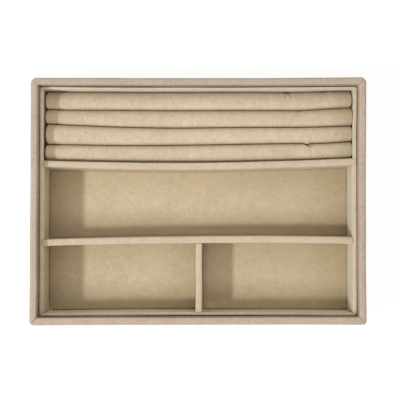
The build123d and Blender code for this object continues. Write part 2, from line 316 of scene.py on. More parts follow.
def velvet(name, dark, light, nap, sheen, blush, shade_ramps, floor_shade=None):
    """Short-pile velvet: brushed patches, faint streaks of the nap and fine fibres.

    The nap is how many streaks there are to the metre along each axis, and blush how pink
    the pile gets in patches. Floor shade gives the middle and half of a bay along Y, and how
    much the painted shade eases in the strip at its front: the floor is painted darker and
    browner towards the bay's edges, as painted shade. Each of the shade ramps gives an axis,
    two places along it between which the colour is painted darker, as painted shade, the
    share that is left of it, and the tint, where that isn't the usual one"""
    shader = Shader(name)
    dark, light = srgb(*dark), srgb(*light)
    patches = shader.noise(22, 2.0)
    mottle = shader.noise(170, 3.0)
    streaks = shader.noise(1.0, 3.0, vector=shader.mapped(nap))
    grain = shader.noise(520, 2.0, 0.6)
    fibres = shader.noise(1250, 2.0, 0.7)
    tone = shader.blend((patches, 0.5), (mottle, 0.7), (grain, 0.85), (streaks, 0.45), (fibres, 1.2))
    colour = shader.mix(tone, dark, light)
    pink = shader.spread(shader.noise(65, 3.0), 0.4, 0.68, 0.0, blush)
    colour = shader.mix(pink, colour, tinted(light, BLUSH_TINT))
    # Floors get painted shade, darker and browner towards the bay's edges
    if floor_shade:
        colour = shader.mix(shader.painted_floor_shade(patches, *floor_shade), tinted(dark, FLOOR_SHADE_TINT), colour)
    # Painted shade: the colour turns darker along an axis
    for axis, start, end, share, *tint in shade_ramps:
        shade = shader.spread(shader.axes()[axis], start * MM, end * MM, 0.0, 1 - share)
        colour = shader.mix(shade, colour, tinted(dark, tint[0] if tint else PAINTED_SHADE_TINT))
    height = shader.math("ADD", fibres, shader.math("MULTIPLY", streaks, 0.8))
    normal = shader.bump(height, 0.00025, 0.6)
    roughness = shader.spread(mottle, 0.3, 0.7, 0.9, 1.0)
    return shader.finish(colour, normal, roughness, {"Sheen Weight": sheen, **VELVET_SHINE})


def leatherette(name, dark, light):
    """Fine-grained leatherette: pebbles, a soft mottle, and a slight gloss"""
    shader = Shader(name)
    grain = shader.spread(shader.cells(900), 0.0, 0.28)
    patches = shader.noise(45, 3.0)
    mottle = shader.noise(380, 3.0)
    pores = shader.noise(1500, 2.0)
    tone = shader.blend((patches, 0.5), (mottle, 0.8), (grain, 0.15), (pores, 0.9))
    colour = shader.mix(tone, dark, light)
    height = shader.math("ADD", grain, shader.math("MULTIPLY", pores, 0.5))
    normal = shader.bump(height, 0.00012, 0.6)
    roughness = shader.spread(grain, 0.0, 1.0, 0.68, 0.52)
    return shader.finish(colour, normal, roughness, LEATHERETTE_SHINE)


def board(name, dark, light, fibre_scale):
    """Pressed fibre board or card: a plain tone with short fibres"""
    shader = Shader(name)
    fibres = shader.noise(1.0, 4.0, 0.7, vector=shader.mapped(fibre_scale))
    specks = shader.noise(900, 2.0)
    tone = shader.math("ADD", shader.math("MULTIPLY", fibres, 0.6), shader.math("MULTIPLY", specks, 0.4))
    colour = shader.mix(shader.spread(tone, 0.35, 0.65), dark, light)
    normal = shader.bump(tone, 0.0001, 0.5)
    return shader.finish(colour, normal, 0.85, {})


# Each velvet's tones, nap, sheen, blush and painted shade ramps. The right wall and the plinth are plain
top_shade_start = liner_top - 0.5
VELVETS = {
    # The rolls are painted darker towards their right ends, as painted shade where the light falls off
    "rolls": (
        (183, 168, 143), (217, 204, 180), (700, 90, 90), 0.1, 0.2,
        [("X", 85, 117, 0.8), ("X", 101, 114, 0.83)],
    ),
    # The dividers are painted darker towards the right, as painted shade where the light falls off
    "rims": (
        (182, 169, 145), (210, 199, 176), (120, 500, 300), 0.1, 0.15,
        [("X", 40, 116, 0.93)],
    ),
    "walls": ((182, 173, 151), (214, 205, 184), WALL_NAP, 0.5, 0.3, []),
    # The left wall is a lighter copy of the walls' velvet, painted darker below its top and towards the
    # front, as painted shade
    "wall_left": (
        (211, 200, 174), (247, 238, 212), WALL_NAP, 0.5, 0.3,
        [("Z", top_shade_start, liner_top - 2.5, 0.78, WALL_SHADE_TINT), ("Y", 88, -85, 0.6)],
    ),
    # The rear wall is a lighter copy, with painted shade low down in the crease behind the first roll,
    # and painted darker from its left end towards the right
    "wall_rear": (
        (194, 187, 165), (228, 222, 201), WALL_NAP, 0.35, 0.3,
        [("Z", liner_top - 8.0, liner_top - 12.0, 0.6), ("X", -105, -45, 0.83)],
    ),
    # The front wall is a lighter copy, painted darker below its top, as painted shade
    "wall_front": (
        (203, 196, 168), (238, 233, 205), WALL_NAP, 0.5, 0.3,
        [("Z", top_shade_start, liner_top - 2.0, 0.84)],
    ),
}
velvets = {name: velvet(f"velvet_{name}", *look) for name, look in VELVETS.items()}
leather = leatherette("leatherette", srgb(160, 145, 129), srgb(201, 187, 173))
fibre_board = board("fibre_board", srgb(150, 124, 96), srgb(186, 160, 130), (600, 600, 120))
grey_card = board("grey_card", srgb(150, 144, 134), srgb(176, 170, 160), (300, 300, 900))


# Mesh helpers


def add_mesh(name, rows, faces, material, body):
    """Make one piece from rows of points in millimetres, riding on a body"""
    mesh = bpy.data.meshes.new(name)
    mesh.from_pydata([Vector(p) * MM for row in rows for p in row], [], faces)
    mesh.validate()
    mesh.polygons.foreach_set("use_smooth", [True] * len(mesh.polygons))
    mesh.materials.append(material)
    piece = bpy.data.objects.new(name, mesh)
    bpy.context.scene.collection.objects.link(piece)
    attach(piece, body)
    return piece


def sheet_faces(rows, closed=False):
    """Join rows of points by quads; closed also joins each row's ends"""
    columns = len(rows[0])
    faces = []
    for r in range(len(rows) - 1):
        for c in range(columns if closed else columns - 1):
            across = (c + 1) % columns
            a, b = r * columns + c, r * columns + across
            faces.append((a, b, b + columns, a + columns))
    return faces


def ring(rows, number):
    """Give the numbers of the points of one row"""
    columns = len(rows[0])
    return tuple(range(number * columns, (number + 1) * columns))


def closed_faces(rows):
    """Join rings of points by quads, and close the first ring and the last"""
    return [*sheet_faces(rows, closed=True), ring(rows, 0)[::-1], ring(rows, len(rows) - 1)]


def turned(faces):
    """Turn faces over"""
    return [tuple(reversed(f)) for f in faces]


def thicken(piece, thickness):
    """Grow a skin inward from the surface that shows"""
    solidify = piece.modifiers.new("thickness", "SOLIDIFY")
    solidify.thickness = thickness * MM
    solidify.offset = -1


def skin(name, rows, thickness, material, flip=False):
    """Make a skin of one thickness on the tray itself; flip turns its faces over"""
    faces = sheet_faces(rows)
    piece = add_mesh(name, rows, turned(faces) if flip else faces, material, "root")
    thicken(piece, thickness)
    return piece


def arc(centre, radius, start, end, steps):
    """Give points on an arc, angles in degrees"""
    points = []
    for i in range(steps + 1):
        angle = math.radians(start + (end - start) * i / steps)
        points.append((centre[0] + radius * math.cos(angle), centre[1] + radius * math.sin(angle)))
    return points


def line(start, end, steps):
    """Give points on a line, without its end"""
    return [
        (start[0] + (end[0] - start[0]) * i / steps, start[1] + (end[1] - start[1]) * i / steps)
        for i in range(steps)
    ]


def end_inset(distance, radius):
    """Give how far a rounded end has drawn in, at a distance from it"""
    if distance >= radius:
        return 0.0
    distance = max(distance, 0.0)
    return radius - math.sqrt(radius * radius - (radius - distance) ** 2)


def section_normals(section):
    """Give each point's normal, to the left of the way along the section"""
    normals = []
    for i in range(len(section)):
        before, after = section[max(i - 1, 0)], section[min(i + 1, len(section) - 1)]
        along = Vector((after[0] - before[0], after[1] - before[1])).normalized()
        normals.append((-along.y, along.x))
    return normals


# The four sides run one after the other round the tray: the way along and the way out
SIDES = {
    "front": ((1, 0), (0, -1), "front_left", "front_right"),
    "right": ((0, 1), (1, 0), "front_right", "rear_right"),
    "rear": ((-1, 0), (0, 1), "rear_right", "rear_left"),
    "left": ((0, -1), (-1, 0), "rear_left", "front_left"),
}


def side_halves(side):
    """Give half the tray's size along a side, and across it"""
    return (half_length, half_depth) if SIDES[side][0][0] else (half_depth, half_length)


def side_place(side, p, q, z):
    """Give x, y, z of a place p along a side, q out from the tray's middle and z up"""
    (ax, ay), (ox, oy), *_ = SIDES[side]
    return ax * p + ox * q, ay * p + oy * q, z


def corner_walk(side, inset, height, radius):
    """Walk half a rounded corner, from the mitre to the straight, as (along, out, z)"""
    along_half, across_half = side_halves(side)
    centre = along_half - inset - radius, across_half - inset - radius
    return [(p, q, height) for p, q in arc(centre, radius, 45, 90, corner_steps)]


def side_walk(side, inset, height, ends):
    """Walk a whole side, from the corner walks at its start and its end"""
    along_half, across_half = side_halves(side)
    steps = int(2 * along_half / sweep_spacing)
    start = [(-p, q, z) for p, q, z in ends[0]]
    end = ends[1][::-1]
    first, last = start[-1][0], end[0][0]
    straight = [first + (last - first) * i / steps for i in range(1, steps)]
    return start + [(p, across_half - inset, height) for p in straight] + end


def sweep_side(side, section, end_walk, seam, seamed):
    """Sweep a section of (inset, height) along one side, and roll its edges in at the seams.

    The end walk goes from the section's end to the straight, and seamed says at which of
    the front and the rear corners a seam lies"""
    along_half, across_half = side_halves(side)
    corners = SIDES[side][2:]
    columns = []
    for (inset, height), (normal_in, normal_up) in zip(section, section_normals(section)):
        ends = [end_walk(side, corner, inset, height) for corner in corners]
        column = []
        for p, q, z in side_walk(side, inset, height, ends):
            if corners[0 if p < 0 else 1].startswith(seamed):
                to_seam = abs(along_half - abs(p) - across_half + q)
                roll = seam[0] * bump_at(to_seam, seam[1])
                q += normal_in * roll
                z -= normal_up * roll
            column.append(side_place(side, p, q, z))
        columns.append(column)
    return [list(row) for row in zip(*columns)]


# Leatherette: over the outside and the rim, and in under the case


# The radii of the case's corners outside, and the least ones inside the rim
CASE_RADII = {"front_left": 2.8, "front_right": 2.8, "rear_left": 4.3, "rear_right": 4.3}
CASE_INNER_RADII = {"front_left": 1.2, "front_right": 2.6, "rear_left": 1.8, "rear_right": 3.0}


def case_end(side, corner, inset, height):
    """End a side of the case at its mitre"""
    radius = max(CASE_RADII[corner] - inset, CASE_INNER_RADII[corner])
    return corner_walk(side, inset, height, radius)


def leatherette_section():
    """Walk from the turned-in edge below, up the outside, over the rim and down inside"""
    low, high, wall = case_bottom, rim_top, case_wall
    section = line((leatherette_turn_in, low), (foot_radius, low), 4)
    section += arc((foot_radius, low + foot_radius), foot_radius, 270, 180, 5)[:-1]
    section += line((0, low + foot_radius), (0, high - rim_radius), 12)
    section += arc((rim_radius, high - rim_radius), rim_radius, 180, 90, corner_steps)[:-1]
    section += line((rim_radius, high), (wall - rim_inner_radius, high), 3)
    centre = (wall - rim_inner_radius, high - rim_inner_radius)
    section += arc(centre, rim_inner_radius, 90, 0, corner_steps)[:-1]
    section += line((wall, high - rim_inner_radius), (wall, high - leatherette_turn_down), 6)
    return section + [(wall, high - leatherette_turn_down)]


# The stretched case is not quite straight: how far each side lies out, at five places
# along it, from left to right and from front to rear
bow_shares = (-1.0, -0.5, 0.0, 0.5, 1.0)
left_bow = (0.32, 0.12, -0.02, -0.2, -0.18)
right_bow = (0.2, -0.13, -0.08, 0.14, 0.55)
front_bow = (0.33, 0.08, -0.04, -0.22, -0.02)
rear_bow = (0.0, -0.15, -0.28, -0.05, 0.38)


def bowed(x, y):
    """Give how far the case has moved out of true at a place"""
    along_x = min(max(x / half_length, -1), 1)
    along_y = min(max(y / half_depth, -1), 1)
    left, right = (curve_through(bow_shares, bow, along_y) for bow in (left_bow, right_bow))
    front, rear = (curve_through(bow_shares, bow, along_x) for bow in (front_bow, rear_bow))
    to_right, to_rear = (along_x + 1) / 2, (along_y + 1) / 2
    return right * to_right - left * (1 - to_right), rear * to_rear - front * (1 - to_rear)


# How much further in the front of the rim reaches, from this inset on
front_rim_growth = 0.35
front_rim_start = 1.5

# The height over the case's underside at which a skin is free to move, and how much it
# moves up and down for its moves in plan
settle_height = 6.0
settle_rise_share = 0.6

# How uneven each kind of piece is, and the size of its lumps. The liner follows the bow
# of the case by a share
leatherette_settle = (0.22, 38.0)
liner_settle = (0.1, 22.0)
liner_bow_share = 0.3
divider_settle = (0.14, 26.0)


def front_grown(x, y, z):
    """Let the front of the rim reach a little further in"""
    inset = half_depth + y
    share = smoothstep(front_rim_start, case_wall, inset)
    share *= smoothstep(half_depth / 2, half_depth / 4, inset)
    return x, y + front_rim_growth * share, z


def settle(rows, amount, size, seed, bow=1.0):
    """Make a stretched skin slightly uneven, and leave what lies on the table alone"""
    for row in rows:
        for i, (x, y, z) in enumerate(row):
            low = smoothstep(case_bottom, case_bottom + settle_height, z)
            out_x, out_y = bowed(x, y)
            row[i] = (
                x + low * (amount * wave((x, y, z), size, seed) + bow * out_x),
                y + low * (amount * wave((x, y, z), size, seed + 11) + bow * out_y),
                z + low * settle_rise_share * amount * wave((x, y, z), size, seed + 23),
            )


for number, side in enumerate(SIDES):
    rows = sweep_side(side, leatherette_section(), case_end, leatherette_seam, ("front", "rear"))
    rows = [[front_grown(*p) for p in row] for row in rows]
    settle(rows, *leatherette_settle, 3 + number)
    name = f"leatherette_{side}"
    piece = skin(f"{name}_skin", rows, leatherette_thickness, leather, flip=True)
    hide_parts(name)


# Liner: velvet down the bay side, over the top and a little way down outside

# The velvet reaches this far over the frame's place for the liner's outside
liner_overhang = 0.8
liner_out = liner_inset - liner_overhang


def liner_section():
    """Walk from outside, up over the top, and down the bay side to the floor"""
    radius, top = velvet_edge_radius, liner_top
    outer, inner = liner_out, bay_inset
    section = line((outer, top - liner_turn_down), (outer, top - radius), 5)
    section += arc((outer + radius, top - radius), radius, 180, 90, edge_steps)[:-1]
    section += line((outer + radius, top), (inner - radius, top), 2)
    section += arc((inner - radius, top - radius), radius, 90, 0, edge_steps)[:-1]
    section += line((inner, top - radius), (inner, liner_bottom), 14)
    return section + [(inner, liner_bottom)]


# The radii of the liner's front corners outside, and inside at the floor
LINER_RADII = {"front_left": liner_out + 0.8, "front_right": liner_out + 2.4}
LINER_FLOOR_RADII = {"front_left": 4.0, "front_right": 1.0}


def liner_inner_radius(corner, height):
    """Give the liner's inner corner radius, which grows towards the floor"""
    share = min(max(1 - (height - floor_top) / (liner_top - floor_top), 0.0), 1.0)
    return liner_rim_radius + (LINER_FLOOR_RADII[corner] - liner_rim_radius) * share


def liner_end(side, corner, inset, height):
    """End a side of the liner.

    The front corners are mitred. At the rear the side pieces run on to the corner, folded
    down over their ends, and the rear piece butts against them."""
    along_half, across_half = side_halves(side)
    if corner.startswith("front"):
        radius = max(LINER_RADII[corner] - inset, liner_inner_radius(corner, height))
        return corner_walk(side, inset, height, radius)
    if side != "rear":
        return run_out(inset, height, along_half, across_half)
    reach = along_half - bay_inset + liner_rear_reach
    steps = [liner_rear_end_step * i for i in range(corner_steps + 1)]
    return [(reach - step, across_half - inset, height) for step in steps]


def run_out(inset, height, along_half, across_half):
    """End a side piece: its top rounds over the end, and folds down"""
    fold = velvet_edge_radius
    cut = end_inset(inset - liner_out, liner_end_plan_radius)
    reach = along_half - liner_out - cut
    foot = min(height, liner_top - liner_turn_down * liner_end_fold_share)
    points = [(reach, across_half - inset, foot)]
    for i in range(corner_steps):
        angle = math.radians(90 * i / (corner_steps - 1))
        drop = fold * (1 - math.sin(angle))
        back = fold * (1 - math.cos(angle))
        points.append((reach - back, across_half - inset, min(height, liner_top - drop)))
    return points


# How far outward the liner's inner and outer faces are pressed, in millimetres: at places
# along X for the front and the rear, and along Y for the ends, at the top and under it.
# The front's foot lies out a little more than its top
press_places = (-115, -100, -75, -30, 25, 75, 100, 108, 115)
rear_press = (1.65, 1.6, 1.4, 1.25, 1.45, 1.35, 1.9, 2.0, 2.0)
rear_outer = (0.0, -0.1, -0.4, -0.4, -0.4, -0.25, -0.15, -0.1, -0.1)
front_press = (1.0, 0.95, 0.6, 0.35, 0.5, 0.55, 0.75, 0.75, 0.75)
front_outer = (-0.25, -0.25, -0.35, -0.6, -0.6, -0.5, -0.35, -0.35, -0.35)
front_foot_out = 0.15
end_places = (26, 33, 50, 58, 64, 84)
left_top_press = (0.0, 0.35, 0.35, 0.4, 0.45, 0.5)
right_top_press = (0.0, 0.0, -0.15, 0.15, 0.6, 1.0)
right_outer = (0.0, 0.0, 0.0, 0.1, 0.15, 0.35)
left_press = (0.0, 1.3, 1.3, 1.3, 1.3, 1.3)
right_press = (0.0, 1.2, 1.2, 1.5, 1.75, 1.3)

# How deep under the liner's top the press at the ends turns from the top's to the other,
# and how far from the corners the rear's ends and the ends' fronts still follow it
press_depths = (0.6, 3.5)
rear_end_blend = 2.0
front_end_blend = 6.0


def bay_share(place, half):
    """Give a place's share of what the liner's bay side moves: none at its outside"""
    return min(max((half - liner_out - abs(place)) / (bay_inset - liner_out), 0.0), 1.0)


def pressed(side, x, y, z):
    """Give where a point of the liner goes as the rolls and the stretched velvet press it"""
    at_top = curve_through(end_places, left_top_press if x < 0 else right_top_press, y)
    below = curve_through(end_places, left_press if x < 0 else right_press, y)
    out = at_top + (below - at_top) * smoothstep(*press_depths, liner_top - z)
    if side == "rear":
        out *= smoothstep(bay_half_length - rear_end_blend, bay_half_length, abs(x))
        share = bay_share(y, half_depth)
        y += curve_through(press_places, rear_press, x) * share
        y += curve_through(press_places, rear_outer, x) * (1 - share)
    else:
        share = bay_share(x, half_length)
        out *= share
        if x > 0:
            out += curve_through(end_places, right_outer, y) * (1 - share)
    if y < 0:
        share = bay_share(y, half_depth)
        foot = front_foot_out * (1 - smoothstep(floor_top, liner_top, z))
        front = (curve_through(press_places, front_press, x) + foot) * share
        front += curve_through(press_places, front_outer, x) * (1 - share)
        y -= front * smoothstep(-bay_half_depth + front_end_blend, -bay_half_depth, y)
    return x + math.copysign(out, x), y, z


def liner_card(side, seed):
    """Make the thin board inside the liner, pressed out as its velvet is"""
    along_half, across_half = side_halves(side)
    outer, inner = liner_inset + card_outer_gap, bay_inset - card_inner_gap
    low, high = liner_bottom, liner_top - velvet_thickness - card_top_gap
    reach = along_half - bay_inset + (card_rear_reach if side == "rear" else card_side_reach)
    steps, rises = 60, 5
    section = [(inner, low + (high - low) * k / rises) for k in range(rises + 1)]
    section += [(outer, z) for _, z in reversed(section)]
    rows = []
    for i in range(steps + 1):
        p = reach * (2 * i / steps - 1)
        places = [side_place(side, p, across_half - inset, z) for inset, z in section]
        rows.append([pressed(side, *place) for place in places])
    settle(rows, *liner_settle, seed, liner_bow_share)
    piece = add_mesh(f"liner_{side}_card", rows, closed_faces(rows), grey_card, "root")
    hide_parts(f"liner_{side}_board")


for number, side in enumerate(SIDES):
    rows = sweep_side(side, liner_section(), liner_end, liner_seam, ("front",))
    rows = [[pressed(side, *p) for p in row] for row in rows]
    settle(rows, *liner_settle, 31 + number, liner_bow_share)
    # The left, rear and front sides take lit and shaded copies of the walls' velvet, with painted shade
    material = velvets.get(f"wall_{side}", velvets["walls"])
    piece = skin(f"liner_{side}_cover", rows, liner_velvet_thickness, material, flip=True)
    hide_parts(f"liner_{side}_velvet")
    liner_card(side, 31 + number)


# Dividers: velvet folded over a board

divider_end_radius = 0.8

# The long dividers: the line, how far each reaches past the bay at the left and the right,
# how much it narrows at the left, and its seed
long_dividers = {
    "rear": (rear_divider_line, 0.5, 3.0, 0.6, 51),
    "front": (front_divider_line, 1.5, 0.5, 0.3, 57),
}

# How far the short divider reaches past its bay at the front and the rear, and its seed
short_reach = (0.5, 0.1)
short_seed = 63


def line_y(centre_line, x):
    """Give a long divider's centre line at a place along X"""
    middle, bow, skew = centre_line
    share = x / bay_half_length
    return middle - bow * share**2 + skew * share


def divider_section(half, rise):
    """Walk up one face of a divider, over its top and down the other, as (across, height)"""
    radius, foot, top = divider_edge_radius, liner_bottom, liner_top + rise
    section = line((-half, foot), (-half, top - radius), 10)
    section += arc((radius - half, top - radius), radius, 180, 90, edge_steps)[:-1]
    section += line((radius - half, top), (half - radius, top), 4)
    section += arc((half - radius, top - radius), radius, 90, 0, edge_steps)[:-1]
    section += line((half, top - radius), (half, foot), 10)
    section.append((half, foot))
    crowned = []
    for across, z in section:
        if z > top - radius:
            z += divider_crown * (max(1 - (across / half) ** 2, 0.0) - 0.5)
        crowned.append((across, z))
    return crowned


def end_stations(start, end, radius, spacing):
    """Give places from start to end, close together at both rounded ends"""
    near = [radius * (1 - math.cos(math.radians(a))) for a in (0, 20, 40, 60, 75, 90)]
    steps = max(int((end - start - 2 * radius) / spacing), 2)
    inner = [start + radius + (end - start - 2 * radius) * i / steps for i in range(1, steps)]
    return [start + n for n in near] + inner + [end - n for n in reversed(near)]


def divider_rows(section, start, end, place):
    """Sweep a divider's section along its length; place turns (along, across, z) into x, y, z"""
    rows = []
    top = max(z for _, z in section)
    half = max(across for across, _ in section)
    radius = divider_end_radius
    for along in end_stations(start, end, radius, sweep_spacing):
        inset = end_inset(min(along - start, end - along), radius)
        row = []
        for across, z in section:
            row.append(place(along, across * (half - inset) / half, z - inset * (z > top - radius * 2)))
        rows.append(row)
    return rows


def divider(name, section, start, end, place, seed, flip):
    """Make one divider's velvet"""
    rows = divider_rows(section, start, end, place)
    settle(rows, *divider_settle, seed)
    piece = skin(f"{name}_divider_cover", rows, velvet_thickness, velvets["rims"], flip)
    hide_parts(f"{name}_divider_velvet")


def long_divider(name):
    """Make a bowed divider, its top drawn in at the front near the left end"""
    centre_line, left_reach, right_reach, narrowing, seed = long_dividers[name]
    start, end = -bay_half_length - left_reach, bay_half_length + right_reach

    def place(along, across, z):
        if across < 0:
            left = min(max((narrowing_start - along) / narrowing_length, 0.0), 1.0)
            rise = min((z - liner_bottom) / (liner_top - liner_bottom), 1.0)
            across *= 1 - narrowing * left * rise / divider_half
        return (along, line_y(centre_line, along) + across, z)

    divider(name, divider_section(divider_half, divider_rise), start, end, place, seed, True)


def short_divider():
    """Make the short divider, from the front wall to the front divider"""
    start = -bay_half_depth - short_reach[0]
    end = line_y(front_divider_line, short_divider_x) - divider_half + short_reach[1]
    section = divider_section(short_divider_half, short_divider_rise)

    def place(along, across, z):
        return (short_divider_x + across, along, z)

    divider("short", section, start, end, place, short_seed, False)


for name in long_dividers:
    long_divider(name)
short_divider()


# Floors: velvet on card, its edges tucked down beside the walls


FLOOR_NAP = (180, 420, 180)

# Each floor's tones, its painted shade ramps along X, and how much the painted front shade eases in its
# front strip
FLOOR_LOOKS = {
    # Painted shadow by the left wall, and painted shade to the right where the light falls off
    "floor_velvet_middle": (
        (184, 171, 143), (216, 205, 177),
        [("X", -87, -93, 0.91), ("X", -10, 116, 0.78)],
        0.2,
    ),
    # Painted shade towards the short divider
    "floor_velvet_front_left": ((178, 166, 138), (211, 200, 172), [("X", -30, -3, 0.82)], 0.23),
    # Lighter tones as a lit copy: painted shade right beside the short divider, lighter in its shadow,
    # darker beyond and to the right where the light falls off
    "floor_velvet_front_right": (
        (195, 182, 153), (230, 219, 192),
        [("X", 8, 4, 0.72), ("X", 8, 24, 0.8), ("X", -10, 116, 0.78)],
        0.38,
    ),
}


def floor_velvet(name, front, rear):
    """Make the velvet of one bay's floor"""
    dark, light, shade_ramps, strip = FLOOR_LOOKS[name]
    floor_shade = ((front + rear) / 2, (rear - front) / 2, strip)
    return velvet(f"{name}_pile", dark, light, FLOOR_NAP, 0.1, 0.3, shade_ramps, floor_shade)


# How a floor's edges tuck down beside the walls and sink towards them over a wider strip,
# and how uneven it is: the lumps' height and size, and the strip without them
floor_rows, floor_columns = 24, 60
floor_tuck = 1.0
floor_tuck_share = 0.9
floor_sink, floor_sink_width = 0.35, 12.0
floor_lumps, floor_lump_size, floor_flat_width = 0.12, 30.0, 6.0


def floor_sheet(name, left, right, front_edge, rear_edge, seed):
    """Make a floor's velvet between two walls and two edges given as functions of x"""
    rows = []
    for y_share in edge_shares(floor_rows):
        row = []
        for x_share in edge_shares(floor_columns):
            x = left + (right - left) * x_share
            low, high = front_edge(x), rear_edge(x)
            y = low + (high - low) * y_share
            to_edge = min(x - left, right - x, y - low, high - y)
            z = floor_top - end_inset(to_edge, floor_tuck) * floor_tuck_share
            z -= floor_sink * (1 - smoothstep(0, floor_sink_width, to_edge))
            lumps = floor_lumps * wave((x, y, 0), floor_lump_size, seed)
            z += lumps * smoothstep(0, floor_flat_width, to_edge)
            row.append((x, y, z))
        rows.append(row)
    middle_x = (left + right) / 2
    material = floor_velvet(name, front_edge(middle_x), rear_edge(middle_x))
    piece = skin(f"{name}_cover", rows, velvet_thickness, material)
    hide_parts(name)


def edge_shares(steps):
    """Give shares from 0 to 1, close together at both ends"""
    return [0.5 - 0.5 * math.cos(math.pi * i / steps) for i in range(steps + 1)]


floor_gap = 0.15
floor_left = -bay_half_length + floor_gap
floor_right = bay_half_length - floor_gap


def front_edge_line(x):
    """Give the line beside the front liner's foot"""
    return -bay_half_depth - curve_through(press_places, front_press, x) - front_foot_out + floor_gap


def beside(centre_line, offset):
    """Give a line beside a long divider"""
    return lambda x: line_y(centre_line, x) + offset


# The floors reach a little way in under the dividers' faces
under_divider = 0.1
to_face = divider_half - under_divider
to_short_face = short_divider_half - under_divider
short_left, short_right = short_divider_x - to_short_face, short_divider_x + to_short_face
middle_edges = beside(front_divider_line, to_face), beside(rear_divider_line, -to_face)
front_edges = front_edge_line, beside(front_divider_line, -to_face)
floor_sheet("floor_velvet_middle", floor_left, floor_right, *middle_edges, 71)
floor_sheet("floor_velvet_front_left", floor_left, short_left, *front_edges, 73)
floor_sheet("floor_velvet_front_right", short_right, floor_right, *front_edges, 79)


# Ring rolls: velvet drawn over foam bars, dented and pinched where they press together

roll_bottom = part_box("ring_roll_1_cover")[0].z / MM
roll_starts = (-115.3, -115.25, -114.5, -115.1)
roll_stops = (116.1, 116.75, 115.9, 116.1)
roll_end_depths = (1.5, 1.3)

# The powers that make each roll full behind its crown and in front of it, and how far back
# the crown lies, in shares of half the roll's width
roll_fullness = ((1.9, 3.2), (2.3, 3.2), (2.9, 3.0), (2.6, 2.6))
roll_leans = (-0.35, -0.25, -0.2, 0.0)

# How far each roll's crown stands above its rear and front edges, in the same shares
rear_drops = (1.35, 1.15, 1.15, 1.15)
front_drop = 1.15

# How far a roll's foot lies in from its sides, its corners, how its ends are rounded, the
# most that they draw in, and its gaps to the liner and the divider
roll_foot_inset = 0.9
roll_foot_corner = 1.4
roll_end_radius = 0.9
most_turn_share = 0.97
roll_liner_gap = 0.1
roll_divider_gap = 0.18

# Steps of a roll: round its crown, down a side, and along its length in millimetres
crown_steps, side_steps, foot_steps = 36, 6, 3
roll_spacing = 0.5

# The crown's lumps, each as height, size and seed, and the share of it that wrinkles reach
wide_lumps = (0.18, 16.0, 17)
small_lumps = (0.07, 4.0, 29)
wrinkle_start = 0.2

# Nicks in the line where two rolls meet: its number, the place, the width and the depth
roll_nicks = ((0, 68.2, 2.8, 0.95), (0, 95.3, 2.6, 0.5), (1, 77.2, 2.0, 0.4))

# Wrinkles: the roll's number, both ends of the line on its top, the width, and the height.
# They are worked out within a reach along X, and fade to a share of their height
wrinkle_reach = 3.0
wrinkle_end_share = 0.5
roll_wrinkles = (
    (0, (62.3, 82.0), (62.6, 77.4), 0.7, -0.4),
    (0, (65.4, 81.5), (67.1, 76.6), 0.6, -0.5),
    (0, (67.6, 82.0), (68.6, 78.6), 0.7, 0.35),
    (0, (71.0, 81.4), (71.7, 76.0), 0.7, -0.4),
    (0, (74.4, 82.2), (74.1, 79.2), 0.8, -0.45),
    (0, (76.6, 81.5), (79.4, 77.8), 0.8, 0.3),
    (0, (86.0, 81.6), (86.6, 78.2), 0.9, -0.2),
    (1, (56.8, 68.0), (57.5, 65.2), 0.8, -0.2),
    (1, (70.2, 68.4), (69.6, 65.4), 0.9, -0.2),
    (3, (80.2, 42.2), (82.9, 40.1), 0.5, 1.8),
    (3, (83.3, 40.2), (85.4, 42.3), 0.55, 2.6),
    (3, (83.4, 39.4), (85.4, 38.1), 0.55, -1.0),
    (3, (85.4, 38.1), (85.7, 33.1), 0.6, -0.4),
)

# The fold where roll 4's rear edge is pushed forward, which roll 3 follows a little less
fold_x, fold_half_width, fold_depth = 82.3, 3.0, 1.5
fold_follow_share = 0.8


def roll_edges(number, x):
    """Give the rear and front of a roll at a place along X"""
    edges = [bay_half_depth + curve_through(press_places, rear_press, x) - roll_liner_gap]
    edges += [curve_through(roll_places, values, x) for values in roll_meets]
    edges.append(line_y(rear_divider_line, x) + divider_half + roll_divider_gap)
    for line_number, place, width, depth in roll_nicks:
        if line_number == number:
            edges[line_number] -= depth * bump_at(x - place, width)
    fold = max(1 - abs(x - fold_x) / fold_half_width, 0.0)
    edges[3] -= fold_depth * fold * (1.0 if number == 3 else fold_follow_share)
    return edges[number] - roll_gap / 2, edges[number + 1] + roll_gap / 2


def line_share(x, y, start, end):
    """Give how far a place is from a line, and how far along it its nearest point lies"""
    along = Vector((end[0] - start[0], end[1] - start[1]))
    to_place = Vector((x - start[0], y - start[1]))
    share = min(max(to_place.dot(along) / along.length_squared, 0.0), 1.0)
    return (to_place - along * share).length, share


def wrinkle_height(number, x, y):
    """Give how far the wrinkles raise a roll's top at a place"""
    height = 0.0
    for roll, start, end, width, rise in roll_wrinkles:
        low, high = sorted((start[0], end[0]))
        if roll == number and low - wrinkle_reach < x < high + wrinkle_reach:
            distance, share = line_share(x, y, start, end)
            height += rise * bump_at(distance, width) * (1 - wrinkle_end_share * share)
    return height


def end_turn(distance, depth):
    """Give the share of its half width that a roll has drawn in, near its rounded end"""
    share = min(max(1 - distance / depth, 0.0), most_turn_share)
    return 1 - (1 - share**2) ** (1 / 3)


